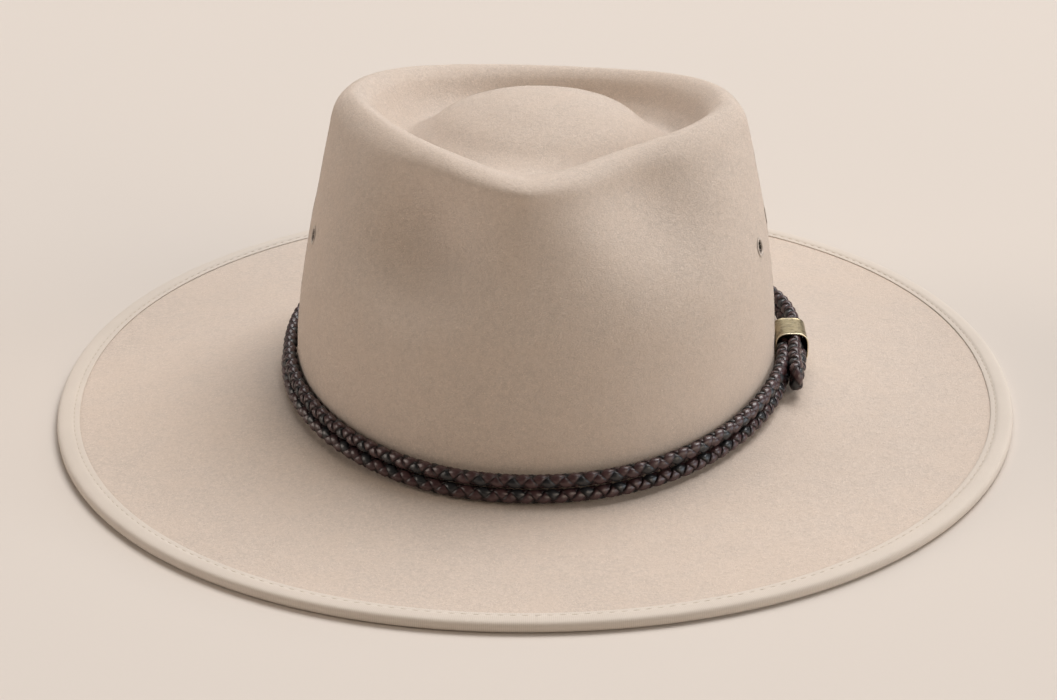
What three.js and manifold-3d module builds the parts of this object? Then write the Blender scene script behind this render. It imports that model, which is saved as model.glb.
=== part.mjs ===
// A drover hat: crown and brim of one piece of felt with a pinched front and a teardrop
// crease, a ribbon folded over the brim's edge, a band of one braided cord laid twice
// round the crown and held by a brass keeper, and four vent eyelets in the sides.
//
// Millimetres. +Z is up and the brim's edge lies on z = 0. The front of the hat looks
// along -Y, and angles round the hat are measured from the front towards +X.

import * as THREE from 'three';
import { mergeVertices } from 'three/addons/utils/BufferGeometryUtils.js';
import Module from 'manifold-3d';

// Felt
const FELT_WALL = 2;
const SEAT_GAP = 0.3;

// Each row of the felt's outer side is one closed line round the hat: half its width, its
// reach to the front and to the back, how square its front and back halves are (2 is an
// ellipse, less is pointed), its height at the front, the sides and the back, how far its
// middle stands to the right, and how much it falls to the right and to the back, in mm
// for each mm.
const COLUMNS = ['half', 'front', 'back', 'squareFront', 'squareBack',
  'zFront', 'zSide', 'zBack', 'shift', 'roll', 'pitch'];
const ROWS = [
  [173.1, 188.1, 188.1, 2.07, 2.07, 3, 3, 3, 0, 0, 0], // brim edge
  [149.6, 166.2, 166.2, 2.08, 2.08, 3.4, 4.8, 3.4, 0, 0, 0], // outer brim
  [122, 138.4, 138.4, 2.1, 2.1, 3.7, 8, 3.7, 0.2, 0, 0], // middle of the brim
  [101.8, 117.8, 117.8, 2.13, 2.18, 4.2, 11, 4.4, 0.4, 0, 0], // inner brim
  [93.6, 110, 110, 2.13, 2.24, 4.4, 12, 4.8, 0.5, 0, 0], // root of the brim
  [88.4, 104.7, 104.7, 2.12, 2.25, 5.4, 13, 5.8, 0.6, 0, 0], // break
  [87.1, 103.3, 103.3, 2.12, 2.25, 11, 19, 11.4, 0.7, 0, 0], // foot of the crown
  [86.5, 101.5, 101.5, 2.13, 2.25, 28, 34, 28, 1, 0, 0], // low side
  [82.9, 95, 96, 2.14, 2.25, 58, 63, 58, 1.9, 0, 0], // middle of the side
  [78.2, 85, 87, 1.98, 2.28, 82, 86, 83, 2.4, 0.01, 0.02], // high side
  [75, 79.8, 80, 1.66, 2.2, 95, 101, 96.6, 2.7, 0.022, 0.04], // shoulder
  [72.4, 78.6, 76, 1.45, 2.15, 101.2, 109.2, 103.4, 2.8, 0.032, 0.05], // outer lip
  [66.6, 72.6, 70.5, 1.38, 2.1, 103.8, 113.6, 106.4, 2.9, 0.036, 0.05], // ridge
  [60.8, 64.8, 65.2, 1.38, 2.05, 103, 110.2, 103.8, 2.9, 0.04, 0.05], // inner lip
  [55.4, 57, 60, 1.46, 2.05, 101.4, 103.2, 97.8, 2.8, 0.05, 0.05], // inner wall
  [49, 49.4, 53.2, 1.62, 2.05, 100.6, 99, 95.2, 2.7, 0.05, 0.04], // bottom of the crease
  [41, 41, 44.5, 1.85, 2.05, 102.6, 101.8, 98.2, 2.6, 0.04, 0.03], // foot of the dome
  [30, 31, 33, 1.95, 2.05, 107.6, 108.6, 106.4, 2.6, 0.02, 0.02], // side of the dome
  [15, 15, 16, 2, 2, 113.2, 113.8, 112.8, 2.5, 0.01, 0.01], // top of the dome
  [0, 0, 0, 2, 2, 115.2, 115.2, 115.2, 2.5, 0, 0], // middle of the dome
].map((row) => Object.fromEntries(COLUMNS.map((column, k) => [column, row[k]])));
const FOOT = 6;
const CREST = 12.5; // the pinches fade out here, between the ridge and the inner lip

// The two pinches beside the front: where each is, how deep, and how far it spreads
const PINCHES = [
  { angle: -31, z: 77, depth: 10, halfWidth: 16, halfHeight: 21 },
  { angle: 38, z: 89, depth: 8, halfWidth: 20, halfHeight: 17 },
];

// The point of the crown's front leans to the left: from none at the first of these rows
// to all at the second, and back to none from the third to the fourth
const FRONT_LEAN = -5.5;
const LEAN_ROWS = [7.5, 11, 14, 17];

// Where the felt's faces have their corners, counted in rows
const FELT_STEPS = [0, 1, 2, 3, 4, 4.5, 5, 5.5, 6, 7, 7.5, 8, 8.5, 9, 9.5,
  10, 10.5, 11, 11.5, 12, 12.5, 13, 14, 15, 16, 17, 18];
const FELT_SIDES = 56;

// Ribbon over the brim's edge
const RIBBON_WALL = 0.6;
const RIBBON_LIP = 0.31; // its inner lip, counted in rows from the edge
const RIBBON_SIDES = 64;

// Braided cord: the middle of its lower turn stands this far outside the foot of the crown
const CORD_DIAMETER = 5;
const CORD_SIDES = 8;
const TURN_SPACING = 5.15;
const LOWER_TURN = { out: 3.6, zFront: 7.9, zSide: 16.5, zBack: 8.3 };
const UPPER_TURN_OUT = 2.8;
const TURN_STEP = 5.2; // degrees
const FOLD_SPREAD = 3.3; // half the height of the loop that the fold makes
const FOLD_STEPS = 5;

// Keeper: a sleeve over the four strands at the right side
const KEEPER_LENGTH = 15.6;
const KEEPER_WALL = 0.7;
const KEEPER_PLAY = 0.28;
const KEEPER_CORNER = 3;
const KEEPER_Y = -1.2;

// The band's angles: its cut ends, where the turns start to leave the crown behind the
// keeper, where they enter it, and where the fold starts
const CUT_ANGLE = 92.5;
const LEAVE_ANGLE = 150;
const ENTER_ANGLE = 98;
const FOLD_ANGLE = 76;

// Vent eyelets
const EYELETS = [
  { name: 'eyelet_right_front', angle: 71, z: 68 },
  { name: 'eyelet_right_back', angle: 87, z: 70 },
  { name: 'eyelet_left_front', angle: -78, z: 70 },
  { name: 'eyelet_left_back', angle: -94, z: 70 },
];
const EYELET_BORE = 2.2;
const EYELET_BARREL = 2.7;
const EYELET_FLANGE = 3.7;
const EYELET_FLANGE_WALL = 0.6;
const EYELET_SEAT = 0.45; // its flanges are flat and the felt is curved
const VENT_RADIUS = EYELET_BARREL + SEAT_GAP;
const EYELET_SIDES = 12;

const COLOURS = {
  felt: '#cdbcaa',
  ribbon: '#dccdb8',
  cord: '#33211f',
  brass: '#8a7a55',
  eyelet: '#b9aa95',
};

const radians = THREE.MathUtils.degToRad;
const smooth = (x) => THREE.MathUtils.smoothstep(x, 0, 1);

// Smooth curve through four even-spaced values, between the second and the third
function through(a, b, c, d, u) {
  const linear = c - a;
  const square = 2 * a - 5 * b + 4 * c - d;
  const cube = 3 * b - a - 3 * c + d;
  return b + 0.5 * u * (linear + u * (square + u * cube));
}

// The row at a place between the named ones
function rowAt(place) {
  const last = ROWS.length - 1;
  const k = Math.min(Math.floor(place), last - 1);
  const u = place - k;
  const row = {};
  for (const column of COLUMNS) {
    const b = ROWS[k][column];
    const c = ROWS[k + 1][column];
    const a = k > 0 ? ROWS[k - 1][column] : 2 * b - c;
    const d = k < last - 1 ? ROWS[k + 2][column] : 2 * c - b;
    row[column] = through(a, b, c, d, u);
  }
  return row;
}

// A point of a row at an angle, widened by out
function pointOfRow(row, angle, out = 0) {
  const sine = Math.sin(angle);
  const cosine = Math.cos(angle);
  const square = cosine > 0 ? row.squareFront : row.squareBack;
  const reach = cosine > 0 ? row.front : row.back;
  const zEnd = cosine > 0 ? row.zFront : row.zBack;
  const x = (row.half + out) * Math.sign(sine) * Math.abs(sine) ** (2 / square);
  const y = -(reach + out) * Math.sign(cosine) * Math.abs(cosine) ** (2 / square);
  const z = row.zSide + (zEnd - row.zSide) * cosine ** 2 - row.roll * x - row.pitch * y;
  return new THREE.Vector3(x + row.shift, y, z);
}

// The felt's outer side, with the two pinches pressed in
function feltPoint(place, angle) {
  const point = pointOfRow(rowAt(place), angle);
  const [start, full, end, gone] = LEAN_ROWS;
  const lean = smooth((place - start) / (full - start)) * (1 - smooth((place - end) / (gone - end)));
  point.x += FRONT_LEAN * lean * Math.max(Math.cos(angle), 0) ** 2;
  const fade = THREE.MathUtils.clamp(CREST - place, 0, 1);
  for (const pinch of PINCHES) {
    const sine = Math.sin(radians(pinch.angle));
    const cosine = Math.cos(radians(pinch.angle));
    if (point.x * sine - point.y * cosine > 0) {
      const across = (point.x * cosine + point.y * sine) / pinch.halfWidth;
      const above = (point.z - pinch.z) / pinch.halfHeight;
      const press = fade * pinch.depth * Math.exp(-(across ** 2 + above ** 2) / 2);
      point.x -= press * sine;
      point.y += press * cosine;
    }
  }
  return point;
}

// Direction straight out of the felt
function feltNormal(place, angle) {
  const step = 0.01;
  const low = Math.max(place - step, 0);
  const high = Math.min(place + step, ROWS.length - 1.001);
  const inwards = feltPoint(high, angle).sub(feltPoint(low, angle));
  const round = feltPoint(place, angle + step).sub(feltPoint(place, angle - step));
  return round.cross(inwards).normalize();
}

const turn = (k, sides) => (2 * Math.PI * k) / sides;

// One ring of the felt, set off from its outer side along the normal
function feltRing(place, sides, offset) {
  return Array.from({ length: sides }, (_, k) => {
    const angle = turn(k + 0.5, sides);
    return feltPoint(place, angle).addScaledVector(feltNormal(place, angle), offset);
  });
}

// Closed body through a list of rings of equal length. It joins its last ring to its
// first, or, where poles are given, closes its two ends on them.
function loft(rings, poles = null) {
  const sides = rings[0].length;
  const points = rings.flat();
  const faces = [];
  const bands = poles ? rings.length - 1 : rings.length;
  for (let r = 0; r < bands; r += 1) {
    const here = r * sides;
    const next = ((r + 1) % rings.length) * sides;
    for (let k = 0; k < sides; k += 1) {
      const after = (k + 1) % sides;
      faces.push(here + k, here + after, next + after, here + k, next + after, next + k);
    }
  }
  if (poles) {
    const first = points.length;
    const lastRing = (rings.length - 1) * sides;
    points.push(...poles);
    for (let k = 0; k < sides; k += 1) {
      const after = (k + 1) % sides;
      faces.push(first, after, k, first + 1, lastRing + k, lastRing + after);
    }
  }
  const geometry = new THREE.BufferGeometry().setFromPoints(points);
  geometry.setIndex(faces);
  return geometry;
}

function feltShell() {
  const top = FELT_STEPS.map((place) => feltRing(place, FELT_SIDES, 0));
  const under = FELT_STEPS.map((place) => feltRing(place, FELT_SIDES, -FELT_WALL));
  const middle = ROWS.at(-1);
  const pole = new THREE.Vector3(middle.shift, 0, middle.zSide);
  const innerPole = pole.clone().setZ(pole.z - FELT_WALL);
  return loft([...under.reverse(), ...top], [innerPole, pole]);
}

// Ribbon folded over the edge: along the felt from its upper lip, round the edge and under
// it, then back outside over the flat that the hat rests on
function ribbonBinding() {
  const outside = SEAT_GAP + RIBBON_WALL;
  const upper = [RIBBON_LIP, 0].map((place) => feltRing(place, RIBBON_SIDES, outside));
  const inner = [RIBBON_LIP, 0].map((place) => feltRing(place, RIBBON_SIDES, SEAT_GAP));
  const edge = feltRing(0, RIBBON_SIDES, 0);
  const atEdge = (out, z) => edge.map((point, k) => {
    const before = edge.at(k - 1);
    const after = edge[(k + 1) % edge.length];
    const away = new THREE.Vector3(after.y - before.y, before.x - after.x, 0).normalize();
    return point.clone().addScaledVector(away, out).setZ(z);
  });
  const flat = (ring, z) => ring.map((point) => point.clone().setZ(z));
  const edgeTop = ROWS[0].zSide;
  return loft([
    ...inner,
    atEdge(SEAT_GAP, edgeTop),
    atEdge(SEAT_GAP, RIBBON_WALL + SEAT_GAP),
    atEdge(0, RIBBON_WALL),
    flat(inner[0], RIBBON_WALL),
    flat(upper[0], 0),
    atEdge(SEAT_GAP, 0),
    atEdge(outside, RIBBON_WALL),
    atEdge(outside, edgeTop - 0.2),
    ...upper.toReversed(),
  ]);
}

// The middle of the band's cord at an angle that may run past a full turn
function bandPoint(degrees, upper) {
  const angle = radians(degrees);
  const back = THREE.MathUtils.euclideanModulo(degrees, 360);
  const behind = degrees < -180;
  const leaving = behind ? smooth((LEAVE_ANGLE - back) / (LEAVE_ANGLE - ENTER_ANGLE)) : 0;
  const nearKeeper = smooth((back - 60) / 25) * smooth((125 - back) / 25);
  const turnOut = upper ? THREE.MathUtils.lerp(UPPER_TURN_OUT, LOWER_TURN.out, nearKeeper)
    : LOWER_TURN.out;
  const out = turnOut + TURN_SPACING * leaving;
  const row = { ...ROWS[FOOT], ...LOWER_TURN };
  const point = pointOfRow(row, angle, out);
  point.z += upper ? TURN_SPACING : 0;
  return point;
}

// Whole route of the cord: from one cut end inside the keeper round the front and the
// back, out through the keeper to the fold, and the same way back one turn lower
function bandRoute() {
  const end = FOLD_ANGLE - 360;
  const steps = Math.round((CUT_ANGLE - end) / TURN_STEP);
  const angles = Array.from({ length: steps + 1 }, (_, k) => {
    return THREE.MathUtils.lerp(CUT_ANGLE, end, k / steps);
  });
  const over = angles.map((degrees) => bandPoint(degrees, true));
  const under = angles.map((degrees) => bandPoint(degrees, false));
  const ahead = over.at(-1).clone().sub(over.at(-2)).setZ(0).normalize();
  const middle = over.at(-1).clone().add(under.at(-1)).multiplyScalar(0.5);
  const fold = Array.from({ length: FOLD_STEPS }, (_, k) => {
    const bend = (Math.PI * (k + 1)) / (FOLD_STEPS + 1);
    const point = middle.clone().addScaledVector(ahead, 3 + FOLD_SPREAD * Math.sin(bend));
    point.z += FOLD_SPREAD * Math.cos(bend);
    return point;
  });
  return [...over, ...fold, ...under.reverse()];
}

// Curve whose steps fall on its points, so that the fold has the short ones
class PointedCurve extends THREE.CatmullRomCurve3 {
  getPointAt(share, target) {
    return this.getPoint(share, target);
  }

  getTangentAt(share, target) {
    return this.getTangent(share, target);
  }
}

function braidedCord() {
  const points = bandRoute();
  const section = new THREE.Shape();
  section.absarc(0, 0, CORD_DIAMETER / 2, 0, 2 * Math.PI);
  return new THREE.ExtrudeGeometry(section, {
    steps: points.length - 1,
    curveSegments: CORD_SIDES / 2,
    bevelEnabled: false,
    extrudePath: new PointedCurve(points, false, 'centripetal'),
  });
}

function roundedSquare(Kind, halfWidth, halfHeight, corner) {
  const outline = new Kind();
  outline.absarc(halfWidth - corner, halfHeight - corner, corner, 0, Math.PI / 2);
  outline.absarc(corner - halfWidth, halfHeight - corner, corner, Math.PI / 2, Math.PI);
  outline.absarc(corner - halfWidth, corner - halfHeight, corner, Math.PI, 1.5 * Math.PI);
  outline.absarc(halfWidth - corner, corner - halfHeight, corner, 1.5 * Math.PI, 2 * Math.PI);
  return outline;
}

const keeperInside = (TURN_SPACING + CORD_DIAMETER) / 2 + KEEPER_PLAY;

function keeperSleeve() {
  const outside = keeperInside + KEEPER_WALL;
  const section = roundedSquare(THREE.Shape, outside, outside, KEEPER_CORNER);
  const insideCorner = KEEPER_CORNER - KEEPER_WALL;
  section.holes.push(roundedSquare(THREE.Path, keeperInside, keeperInside, insideCorner));
  const sleeve = new THREE.ExtrudeGeometry(section, {
    depth: KEEPER_LENGTH,
    steps: 1,
    curveSegments: 4,
    bevelEnabled: false,
  });
  return sleeve.translate(0, 0, -KEEPER_LENGTH / 2).rotateX(Math.PI / 2);
}

// Middle of the four strands inside the keeper
function keeperMiddle() {
  const lower = bandPoint(90, false);
  const half = TURN_SPACING / 2;
  return new THREE.Vector3(lower.x + half, KEEPER_Y, lower.z + half);
}

// Rolled eyelet: barrel through the felt with a flange on each side, about the Y axis
function eyeletRing() {
  const outer = EYELET_FLANGE_WALL + EYELET_SEAT;
  const inner = -FELT_WALL - outer;
  const profile = [
    [EYELET_BORE, inner],
    [EYELET_FLANGE, inner],
    [EYELET_FLANGE, inner + EYELET_FLANGE_WALL],
    [EYELET_BARREL, inner + EYELET_FLANGE_WALL],
    [EYELET_BARREL, EYELET_SEAT],
    [EYELET_FLANGE, EYELET_SEAT],
    [EYELET_FLANGE, outer - 0.2],
    [EYELET_FLANGE - 0.5, outer],
    [EYELET_BORE, outer],
    [EYELET_BORE, inner],
  ].map(([radius, along]) => new THREE.Vector2(radius, along));
  return new THREE.LatheGeometry(profile, EYELET_SIDES);
}

// Place on the side of the crown at a height, and the turn from +Y to straight out of it
function sideSeat(degrees, z) {
  const angle = radians(degrees);
  let low = FOOT;
  let high = FOOT + 5;
  while (high - low > 1e-4) {
    const middle = (low + high) / 2;
    if (feltPoint(middle, angle).z < z) low = middle;
    else high = middle;
  }
  const away = feltNormal(low, angle);
  const up = new THREE.Vector3(0, 1, 0);
  return {
    position: feltPoint(low, angle),
    quaternion: new THREE.Quaternion().setFromUnitVectors(up, away),
  };
}

// Only positions, shared between neighbouring faces
function shared(geometry) {
  const bare = geometry.clone();
  bare.deleteAttribute('normal');
  bare.deleteAttribute('uv');
  return mergeVertices(bare);
}

const wasm = await Module();
wasm.setup();

function toSolid(geometry) {
  const merged = shared(geometry);
  const mesh = new wasm.Mesh({
    numProp: 3,
    vertProperties: new Float32Array(merged.attributes.position.array),
    triVerts: new Uint32Array(merged.index.array),
  });
  return new wasm.Manifold(mesh);
}

function fromSolid(solid) {
  const mesh = solid.getMesh();
  const geometry = new THREE.BufferGeometry();
  geometry.setAttribute('position', new THREE.BufferAttribute(mesh.vertProperties, 3));
  geometry.setIndex(new THREE.BufferAttribute(mesh.triVerts, 1));
  return geometry;
}

// The felt with its four vents cut through
function feltWithVents() {
  const punch = new THREE.CylinderGeometry(VENT_RADIUS, VENT_RADIUS, 6 * FELT_WALL, EYELET_SIDES);
  let felt = toSolid(feltShell());
  for (const eyelet of EYELETS) {
    const seat = sideSeat(eyelet.angle, eyelet.z);
    const place = new THREE.Matrix4().compose(seat.position, seat.quaternion,
      new THREE.Vector3(1, 1, 1));
    felt = felt.subtract(toSolid(punch.clone().applyMatrix4(place)));
  }
  return fromSolid(felt);
}

function material(color, roughness, metalness) {
  return new THREE.MeshStandardMaterial({ color, roughness, metalness });
}

function piece(name, geometry, finish) {
  const mesh = new THREE.Mesh(geometry, finish);
  mesh.name = name;
  return mesh;
}

const hat = new THREE.Group();
hat.add(piece('felt_body', feltWithVents(), material(COLOURS.felt, 0.95, 0)));
hat.add(piece('brim_binding', ribbonBinding(), material(COLOURS.ribbon, 0.8, 0)));
hat.add(piece('braided_cord', shared(braidedCord()), material(COLOURS.cord, 0.4, 0)));

const keeper = piece('keeper', shared(keeperSleeve()), material(COLOURS.brass, 0.4, 1));
keeper.position.copy(keeperMiddle());
hat.add(keeper);

for (const eyelet of EYELETS) {
  const ring = piece(eyelet.name, shared(eyeletRing()), material(COLOURS.eyelet, 0.45, 0.6));
  const seat = sideSeat(eyelet.angle, eyelet.z);
  ring.position.copy(seat.position);
  ring.quaternion.copy(seat.quaternion);
  hat.add(ring);
}

export default hat;
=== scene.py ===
import math

import bpy
import numpy as np
from mathutils import Matrix, Vector, noise


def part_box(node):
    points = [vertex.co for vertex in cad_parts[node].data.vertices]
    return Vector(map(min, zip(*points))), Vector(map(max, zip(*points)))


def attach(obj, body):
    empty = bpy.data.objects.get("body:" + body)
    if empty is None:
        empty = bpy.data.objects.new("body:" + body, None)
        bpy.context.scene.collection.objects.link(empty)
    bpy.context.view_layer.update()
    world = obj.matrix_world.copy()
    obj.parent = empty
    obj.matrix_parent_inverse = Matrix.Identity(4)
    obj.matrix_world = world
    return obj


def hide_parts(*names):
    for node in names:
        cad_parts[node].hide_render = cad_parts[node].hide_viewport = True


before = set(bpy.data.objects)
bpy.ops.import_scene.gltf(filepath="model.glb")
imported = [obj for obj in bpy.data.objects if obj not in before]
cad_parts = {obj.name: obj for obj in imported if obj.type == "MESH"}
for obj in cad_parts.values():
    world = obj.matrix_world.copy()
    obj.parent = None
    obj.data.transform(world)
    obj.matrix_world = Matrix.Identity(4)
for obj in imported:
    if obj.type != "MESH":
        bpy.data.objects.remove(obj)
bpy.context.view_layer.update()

bl_info = {
    "name": "Drover Hat",
    "version": (1, 0, 0),
    "blender": (4, 5, 0),
    "location": "View3D > Sidebar > Hat",
    "description": "Blocked felt hat with a bound brim, a braided band, a keeper and eyelets",
    "category": "Add Mesh",
}

BODY = "root"

# Lengths in this file are in millimetres up to the point where a mesh is made from them.
# Angles round the hat run from the front, which is -Y, towards +X.
MM = 0.001

# The felt's outer side: each row is one closed line round the hat. Half its width, its
# reach to the front and to the back, how square its front and back halves are, its height
# at the front, the sides and the back, how far its middle stands to the right, and how
# much it falls to the right and to the back.
HALF, FRONT, BACK, SQUARE_FRONT, SQUARE_BACK = range(5)
Z_FRONT, Z_SIDE, Z_BACK, SHIFT, ROLL, PITCH = range(5, 11)
FELT_ROWS = np.array([
    [173.1, 188.1, 188.1, 2.07, 2.07, 3, 3, 3, 0, 0, 0],  # brim edge
    [149.6, 166.2, 166.2, 2.08, 2.08, 3.4, 4.8, 3.4, 0, 0, 0],  # outer brim
    [122, 138.4, 138.4, 2.1, 2.1, 3.7, 8, 3.7, 0.2, 0, 0],  # middle of the brim
    [101.8, 117.8, 117.8, 2.13, 2.18, 4.2, 11, 4.4, 0.4, 0, 0],  # inner brim
    [93.6, 110, 110, 2.13, 2.24, 4.4, 12, 4.8, 0.5, 0, 0],  # root of the brim
    [88.4, 104.7, 104.7, 2.12, 2.25, 5.4, 13, 5.8, 0.6, 0, 0],  # break
    [87.1, 103.3, 103.3, 2.12, 2.25, 11, 19, 11.4, 0.7, 0, 0],  # foot of the crown
    [86.5, 101.5, 101.5, 2.13, 2.25, 28, 34, 28, 1, 0, 0],  # low side
    [82.9, 95, 96, 2.14, 2.25, 58, 63, 58, 1.9, 0, 0],  # middle of the side
    [78.2, 85, 87, 1.98, 2.28, 82, 86, 83, 2.4, 0.01, 0.02],  # high side
    [75, 79.8, 80, 1.66, 2.2, 95, 101, 96.6, 2.7, 0.022, 0.04],  # shoulder
    [72.4, 78.6, 76, 1.45, 2.15, 101.2, 109.2, 103.4, 2.8, 0.032, 0.05],  # outer lip
    [66.6, 72.6, 70.5, 1.38, 2.1, 103.8, 113.6, 106.4, 2.9, 0.036, 0.05],  # ridge
    [60.8, 64.8, 65.2, 1.38, 2.05, 103, 110.2, 103.8, 2.9, 0.04, 0.05],  # inner lip
    [55.4, 57, 60, 1.46, 2.05, 101.4, 101.8, 96.6, 2.8, 0.05, 0.05],  # inner wall
    [49, 49.4, 53.2, 1.62, 2.05, 100.6, 96.8, 93.2, 2.7, 0.05, 0.04],  # bottom of the crease
    [41, 41, 44.5, 1.85, 2.05, 102.6, 100.6, 97.2, 2.6, 0.04, 0.03],  # foot of the dome
    [30, 31, 33, 1.95, 2.05, 107.6, 108.6, 106.4, 2.6, 0.02, 0.02],  # side of the dome
    [15, 15, 16, 2, 2, 113.2, 113.8, 112.8, 2.5, 0.01, 0.01],  # top of the dome
    [0, 0, 0, 2, 2, 115.2, 115.2, 115.2, 2.5, 0, 0],  # middle of the dome
])
FOOT = 6
CREST = 12.5

# Rings of the outer side between each two rows
RINGS_BETWEEN = (12, 14, 10, 6, 6, 7, 8, 15, 12, 9, 8, 8, 8, 8, 6, 6, 6, 7, 7)
FELT_SIDES = 288

# The two pinches beside the front: angle, height, depth, and half their width and height.
# They fade out over the rows inside the crest, so the dome keeps its form.
PINCHES = ((-30, 83, 16, 16, 13), (35, 93, 10, 17, 12))
PINCH_FADE = 3

# The point of the crown's front leans to the left, most at the lip
FRONT_LEAN = -5.5
LEAN_ROWS = (7.5, 11, 14, 17)

# Unevenness of blocked felt: how wide its swells are and how high, and the rows next to
# the ribbon over which they grow
SWELLS = ((52, 0.4), (17, 0.14), (6.5, 0.06))
CALM_ROWS = 0.4

# Between the felt and the ribbon round it
SEAT_GAP = 0.3

# How thick the nap's hairs stand on the brim, where the crown is 1; the fineness of the
# surface that they grow from, and how far it lies below the felt's outer side
BRIM_COVER = 0.4
NAP_RINGS, NAP_SIDES = 140, 180
NAP_DEPTH = 0.02
NAP_SEED = 5
FLATTEST_HAIR = 0.06
SHORTEST_HAIR = 0.45

# The vents are cut a little inside the rims of their eyelets, right through the felt
VENT_INSET = 0.7
VENT_REACH = 8

# Ribbon over the brim's edge; its inner lip is counted in rows from the edge
RIBBON_LIP = 0.31
RIBBON_WALL = 0.6
RIBBON_STEPS_PER_STITCH = 5
RIBBON_CROWN = 0.12
EDGE_ROUND = 2 / 2.4
STITCH_INSET = 1.8
STITCH_SUNK = 0.12
STITCH_SLACK = 0.18
STITCH_SEED = 11
GROOVE_WIDTH = 0.42
# How deep the stitches draw the ribbon in: on the whole, and how much that changes
PUCKER, PUCKER_SWING = 0.12, 0.08
# The round edge begins this far inside the brim's edge
EDGE_START = 1.2
LIP_GAP = 0.06
LIP_HEIGHT = 0.4
LIP_SLOPE = 3.4

# Band: two turns of one cord, its fold, and the places where it leaves the crown
TURN_SPACING = 5.15
LOWER_TURN = {"out": 3.6, "front": 7.9, "side": 16.5, "back": 8.3}
UPPER_TURN_OUT = 2.8
CUT_ANGLE = 92.5
LEAVE_ANGLE = 150
ENTER_ANGLE = 98
FOLD_ANGLE = 76
FOLD_SPREAD = 3.3
FOLD_REACH = 3
BRAID_STEPS = 16

# Ranges of the angle round the hat, each with the degrees over which it fades in and out:
# where the turns lie at one distance from the crown, and where they are in the keeper
NEAR_KEEPER = (60, 125, 25, 25)
MOUTH = (74, 97, 7, 8)

# Degrees by which the braid is turned at its start and how many more after the fold, and
# how far before and after the fold the turning begins and ends
BRAID_ROLL = (-22, -46)
FOLD_EASE = 10

# In the keeper's mouth the four runs are turned about their common middle and pressed
MOUTH_TURN = math.radians(25)
MOUTH_PRESS = 0.15

# How square the sleeve is, how far its wall and its grooves lie inside the rims, and how
# far from its ends the rims, their grooves and their wear lie
KEEPER_SQUARE = 3.4
SLEEVE_INSET = 0.12
GROOVE_INSET = 0.1
RIM_START = 1.4
RIM_GROOVE = 1.0
RIM_FULL = 0.7
WEAR_REACH = 0.9

# The vents: degrees round the hat and height
EYELETS = {
    "eyelet_right_front": (71, 68),
    "eyelet_right_back": (87, 70),
    "eyelet_left_front": (-78, 70),
    "eyelet_left_back": (-94, 70),
}
EYELET_RISE = 0.12
EYELET_ROUND = 0.8
BARREL_WALL = 0.12
# Below this depth the eyelet's bore is painted in shade
DARK_BELOW = -0.5

FLOOR_REACH = 12000
FLOOR_DROP = 0.1

# The soft lights: degrees from the front towards +X, degrees up, power and tone
LIGHTS = {
    "key_light": (135, 55, 478, (1.0, 0.975, 0.965)),
    "back_light": (180, 55, 230, (1.0, 0.99, 0.98)),
    "left_fill": (-90, 22, 240, (1.0, 0.88, 0.78)),
    "front_fill": (45, 26, 178, (1.0, 0.84, 0.68)),
    "right_fill": (84, 12, 185, (0.8, 0.9, 1.0)),
}
LIGHT_DISTANCE = 7.8
LIGHT_SIZE = 4.5

# The photograph's camera: distance, direction and what it looks at
CAMERA_DISTANCE = 1.08
CAMERA_ELEVATION = math.radians(22.95)
CAMERA_ROLL = math.radians(-0.614)
CAMERA_TARGET = Vector((-0.0021, 0, 0.016))
CAMERA_LENS = 100


def smooth(x):
    """Smooth step from 0 to 1 as x goes from 0 to 1."""
    x = np.clip(x, 0, 1)
    return x * x * (3 - 2 * x)


def window(x, start, end, fade_in, fade_out):
    """1 well inside a range and 0 outside it."""
    return smooth((x - start) / fade_in) * smooth((end - x) / fade_out)


def circle(count):
    """Angles at even steps once round."""
    return np.arange(count) * 2 * math.pi / count


def signed_power(x, exponent):
    return np.sign(x) * np.abs(x) ** exponent


def unit(vectors):
    """The same vectors with a length of 1."""
    return vectors / np.linalg.norm(vectors, axis=-1, keepdims=True)


# The felt's form

def rows_at(places):
    """Rows of the felt at places between the named ones, on a smooth curve through them."""
    last = len(FELT_ROWS) - 1
    k = np.clip(np.floor(places).astype(int), 0, last - 1)
    u = (places - k)[:, None]
    here, after = FELT_ROWS[k], FELT_ROWS[k + 1]
    before = np.where((k > 0)[:, None], FELT_ROWS[np.maximum(k - 1, 0)], 2 * here - after)
    beyond = FELT_ROWS[np.minimum(k + 2, last)]
    beyond = np.where((k < last - 1)[:, None], beyond, 2 * after - here)
    linear = after - before
    square = 2 * before - 5 * here + 4 * after - beyond
    cube = 3 * here - before - 3 * after + beyond
    return here + 0.5 * u * (linear + u * (square + u * cube))


def row_points(rows, angles, out=0):
    """Points of each row at each angle, widened by out."""
    column = [rows[:, k][:, None] for k in range(rows.shape[1])]
    sine, cosine = np.sin(angles)[None], np.cos(angles)[None]
    ahead = cosine > 0
    square = np.where(ahead, column[SQUARE_FRONT], column[SQUARE_BACK])
    reach = np.where(ahead, column[FRONT], column[BACK])
    z_end = np.where(ahead, column[Z_FRONT], column[Z_BACK])
    x = (column[HALF] + out) * signed_power(sine, 2 / square)
    y = -(reach + out) * signed_power(cosine, 2 / square)
    z = column[Z_SIDE] + (z_end - column[Z_SIDE]) * cosine**2
    z = z - column[ROLL] * x - column[PITCH] * y
    return np.stack([x + column[SHIFT], y, z], axis=-1)


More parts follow.
